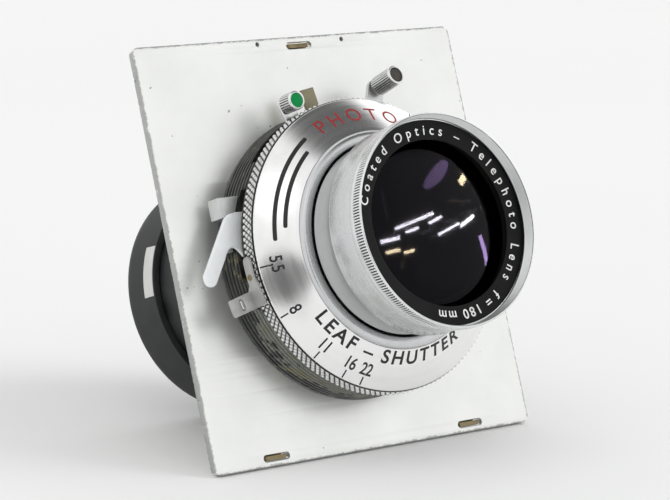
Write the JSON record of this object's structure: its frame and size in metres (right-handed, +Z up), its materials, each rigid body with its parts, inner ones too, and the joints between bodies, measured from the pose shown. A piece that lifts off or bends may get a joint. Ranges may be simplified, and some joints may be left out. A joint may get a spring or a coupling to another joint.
{
  "type": "taking lens in a leaf shutter",
  "caption": "Telephoto lens in a rim-set leaf shutter on a flat lens board, with knurled rings, levers, iris and shutter leaves.",
  "frame": {"origin": "middle of the footprint, on the surface it stands on", "axes": "+Z up; the lens looks toward -Y and up, because its board leans back 20.1 degrees to rest on its lower edge and the rear rim; +X is to the right seen from the front"},
  "size_m": [0.096, 0.1064, 0.0964],
  "materials": {
    "board": "satin, lightly scratched",
    "black_case": "ribbed black lacquer, worn to metal in places",
    "black_metal": "black anodised, matt",
    "black_trim": "black anodised, matt",
    "dark_metal": "oxidised",
    "steel": "ground",
    "blade": "blackened",
    "satin": "satin chrome",
    "bright": "bright chrome",
    "brushed": "circular brushed",
    "grey_metal": "nickel, dulled",
    "brass": "tarnished",
    "green": "gloss enamel",
    "dark_insert": "rough",
    "glass": "coated, polished"
  },
  "bodies": {
    "lens_and_case": {"lens_board": "board", "light_trap_frame": "brass", "board_retaining_ring": "dark_metal", "shutter_housing": "black_case", "shutter_base_plate": "steel", "iris_base_plate": "steel", "mainspring": "steel", "front_mount_tube": "dark_metal", "face_plate": "brushed", "face_collar": "brushed", "front_cell_barrel": "satin", "front_knurled_rim": "bright", "front_trim_ring": "black_trim", "front_glass": "glass", "front_glass_spacer": "black_trim", "front_inner_glass": "glass", "rear_cell_barrel": "black_metal", "rear_rim": "black_metal", "rear_inner_glass": "glass", "rear_baffle_tube": "black_trim", "rear_glass": "glass", "rear_glass_ring": "black_trim", "release_pivot_stud": "steel", "lever_stop": "grey_metal", "release_socket": "bright", "retard_wheel_post": "steel", "retard_pinion_post": "steel"},
    "aperture_control": {"aperture_ring": "steel", "aperture_lever": "grey_metal"},
    "speed_ring": {"speed_ring": "satin"},
    "release_lever": {"release_lever": "bright"},
    "release_plunger": {"release_plunger": "steel"},
    "cocking_control": {"cocking_ring": "steel", "cocking_knob": "satin", "cocking_knob_insert": "dark_insert"},
    "selector": {"selector_lever": "bright", "selector_post": "satin", "selector_dot": "green"},
    "selector_catch": {"selector_catch": "brass"},
    "blade_drive": {"blade_drive_ring": "steel"},
    "retard_wheel": {"retard_wheel": "brass"},
    "retard_pinion": {"retard_pinion": "brass"},
    "shutter_blade_1": {"shutter_blade_1": "blade"},
    "shutter_blade_2": {"shutter_blade_2": "blade"},
    "shutter_blade_3": {"shutter_blade_3": "blade"},
    "shutter_blade_4": {"shutter_blade_4": "blade"},
    "shutter_blade_5": {"shutter_blade_5": "blade"},
    "iris_blade_1": {"iris_blade_1": "blade"},
    "iris_blade_2": {"iris_blade_2": "blade"},
    "iris_blade_3": {"iris_blade_3": "blade"},
    "iris_blade_4": {"iris_blade_4": "blade"},
    "iris_blade_5": {"iris_blade_5": "blade"}
  },
  "joints": [
    {"name": "speed_ring_turn", "type": "hinge", "parent": "lens_and_case", "child": "speed_ring", "pos_m": [0, -0.00374, 0.04485], "axis": [0, -0.939, 0.3439], "range_deg": [-40, 70]},
    {"name": "aperture_turn", "type": "hinge", "parent": "lens_and_case", "child": "aperture_control", "pos_m": [0, -0.00374, 0.04485], "axis": [0, -0.939, 0.3439], "range_deg": [0, 64]},
    {"name": "cocking_turn", "type": "hinge", "parent": "lens_and_case", "child": "cocking_control", "pos_m": [0, -0.00374, 0.04485], "axis": [0, -0.939, 0.3439], "range_deg": [-48, 0], "stiffness_Nm_per_rad": 0.03, "springref_deg": 17.19},
    {"name": "selector_turn", "type": "hinge", "parent": "lens_and_case", "child": "selector", "pos_m": [0, -0.00374, 0.04485], "axis": [0, -0.939, 0.3439], "range_deg": [0, 24]},
    {"name": "release_press", "type": "hinge", "parent": "lens_and_case", "child": "release_lever", "pos_m": [-0.029, -0.00072, 0.05311], "axis": [0, -0.939, 0.3439], "range_deg": [0, 12], "stiffness_Nm_per_rad": 0.02, "springref_deg": -5.73},
    {"name": "plunger_slide", "type": "slide", "parent": "lens_and_case", "child": "release_plunger", "axis": [0, -0.3439, -0.939], "range_m": [0, 0.0012], "stiffness_N_per_m": 50, "springref_m": -0.002},
    {"name": "catch_press", "type": "slide", "parent": "lens_and_case", "child": "selector_catch", "axis": [0.1564, -0.3397, -0.9274], "range_m": [0, 0.0006], "stiffness_N_per_m": 100, "springref_m": -0.001},
    {"name": "blade_drive_turn", "type": "hinge", "parent": "lens_and_case", "child": "blade_drive", "pos_m": [0, -0.00374, 0.04485], "axis": [0, -0.939, 0.3439], "range_deg": [0, 10.5], "stiffness_Nm_per_rad": 0.02, "springref_deg": -8.59},
    {"name": "shutter_blade_1_turn", "type": "hinge", "parent": "lens_and_case", "child": "shutter_blade_1", "pos_m": [0.024, -0.00374, 0.04485], "axis": [0, -0.939, 0.3439], "range_deg": [-42, 0]},
    {"name": "shutter_blade_2_turn", "type": "hinge", "parent": "lens_and_case", "child": "shutter_blade_2", "pos_m": [0.00742, 0.00411, 0.06628], "axis": [0, -0.939, 0.3439], "range_deg": [-42, 0]},
    {"name": "shutter_blade_3_turn", "type": "hinge", "parent": "lens_and_case", "child": "shutter_blade_3", "pos_m": [-0.01942, 0.00111, 0.05809], "axis": [0, -0.939, 0.3439], "range_deg": [-42, 0]},
    {"name": "shutter_blade_4_turn", "type": "hinge", "parent": "lens_and_case", "child": "shutter_blade_4", "pos_m": [-0.01942, -0.00859, 0.0316], "axis": [0, -0.939, 0.3439], "range_deg": [-42, 0]},
    {"name": "shutter_blade_5_turn", "type": "hinge", "parent": "lens_and_case", "child": "shutter_blade_5", "pos_m": [0.00742, -0.01159, 0.02341], "axis": [0, -0.939, 0.3439], "range_deg": [-42, 0]},
    {"name": "iris_blade_1_turn", "type": "hinge", "parent": "lens_and_case", "child": "iris_blade_1", "pos_m": [0.024, -0.00374, 0.04485], "axis": [0, -0.939, 0.3439], "range_deg": [0, 38.4]},
    {"name": "iris_blade_2_turn", "type": "hinge", "parent": "lens_and_case", "child": "iris_blade_2", "pos_m": [0.00742, 0.00411, 0.06628], "axis": [0, -0.939, 0.3439], "range_deg": [0, 38.4]},
    {"name": "iris_blade_3_turn", "type": "hinge", "parent": "lens_and_case", "child": "iris_blade_3", "pos_m": [-0.01942, 0.00111, 0.05809], "axis": [0, -0.939, 0.3439], "range_deg": [0, 38.4]},
    {"name": "iris_blade_4_turn", "type": "hinge", "parent": "lens_and_case", "child": "iris_blade_4", "pos_m": [-0.01942, -0.00859, 0.0316], "axis": [0, -0.939, 0.3439], "range_deg": [0, 38.4]},
    {"name": "iris_blade_5_turn", "type": "hinge", "parent": "lens_and_case", "child": "iris_blade_5", "pos_m": [0.00742, -0.01159, 0.02341], "axis": [0, -0.939, 0.3439], "range_deg": [0, 38.4]},
    {"name": "retard_wheel_turn", "type": "hinge", "parent": "lens_and_case", "child": "retard_wheel", "pos_m": [0.02561, -0.00924, 0.02982], "axis": [0, -0.939, 0.3439], "range_deg": [0, 42]},
    {"name": "retard_pinion_turn", "type": "hinge", "parent": "lens_and_case", "child": "retard_pinion", "pos_m": [0.02784, -0.00777, 0.03386], "axis": [0, -0.939, 0.3439], "range_deg": [-58.8, 0]}
  ],
  "couplings": [
    {"joint": "shutter_blade_1_turn", "follows": "blade_drive_turn", "ratio": -4},
    {"joint": "shutter_blade_2_turn", "follows": "blade_drive_turn", "ratio": -4},
    {"joint": "shutter_blade_3_turn", "follows": "blade_drive_turn", "ratio": -4},
    {"joint": "shutter_blade_4_turn", "follows": "blade_drive_turn", "ratio": -4},
    {"joint": "shutter_blade_5_turn", "follows": "blade_drive_turn", "ratio": -4},
    {"joint": "iris_blade_1_turn", "follows": "aperture_turn", "ratio": 0.6},
    {"joint": "iris_blade_2_turn", "follows": "aperture_turn", "ratio": 0.6},
    {"joint": "iris_blade_3_turn", "follows": "aperture_turn", "ratio": 0.6},
    {"joint": "iris_blade_4_turn", "follows": "aperture_turn", "ratio": 0.6},
    {"joint": "iris_blade_5_turn", "follows": "aperture_turn", "ratio": 0.6},
    {"joint": "retard_wheel_turn", "follows": "blade_drive_turn", "ratio": 4},
    {"joint": "retard_pinion_turn", "follows": "blade_drive_turn", "ratio": -5.6}
  ]
}
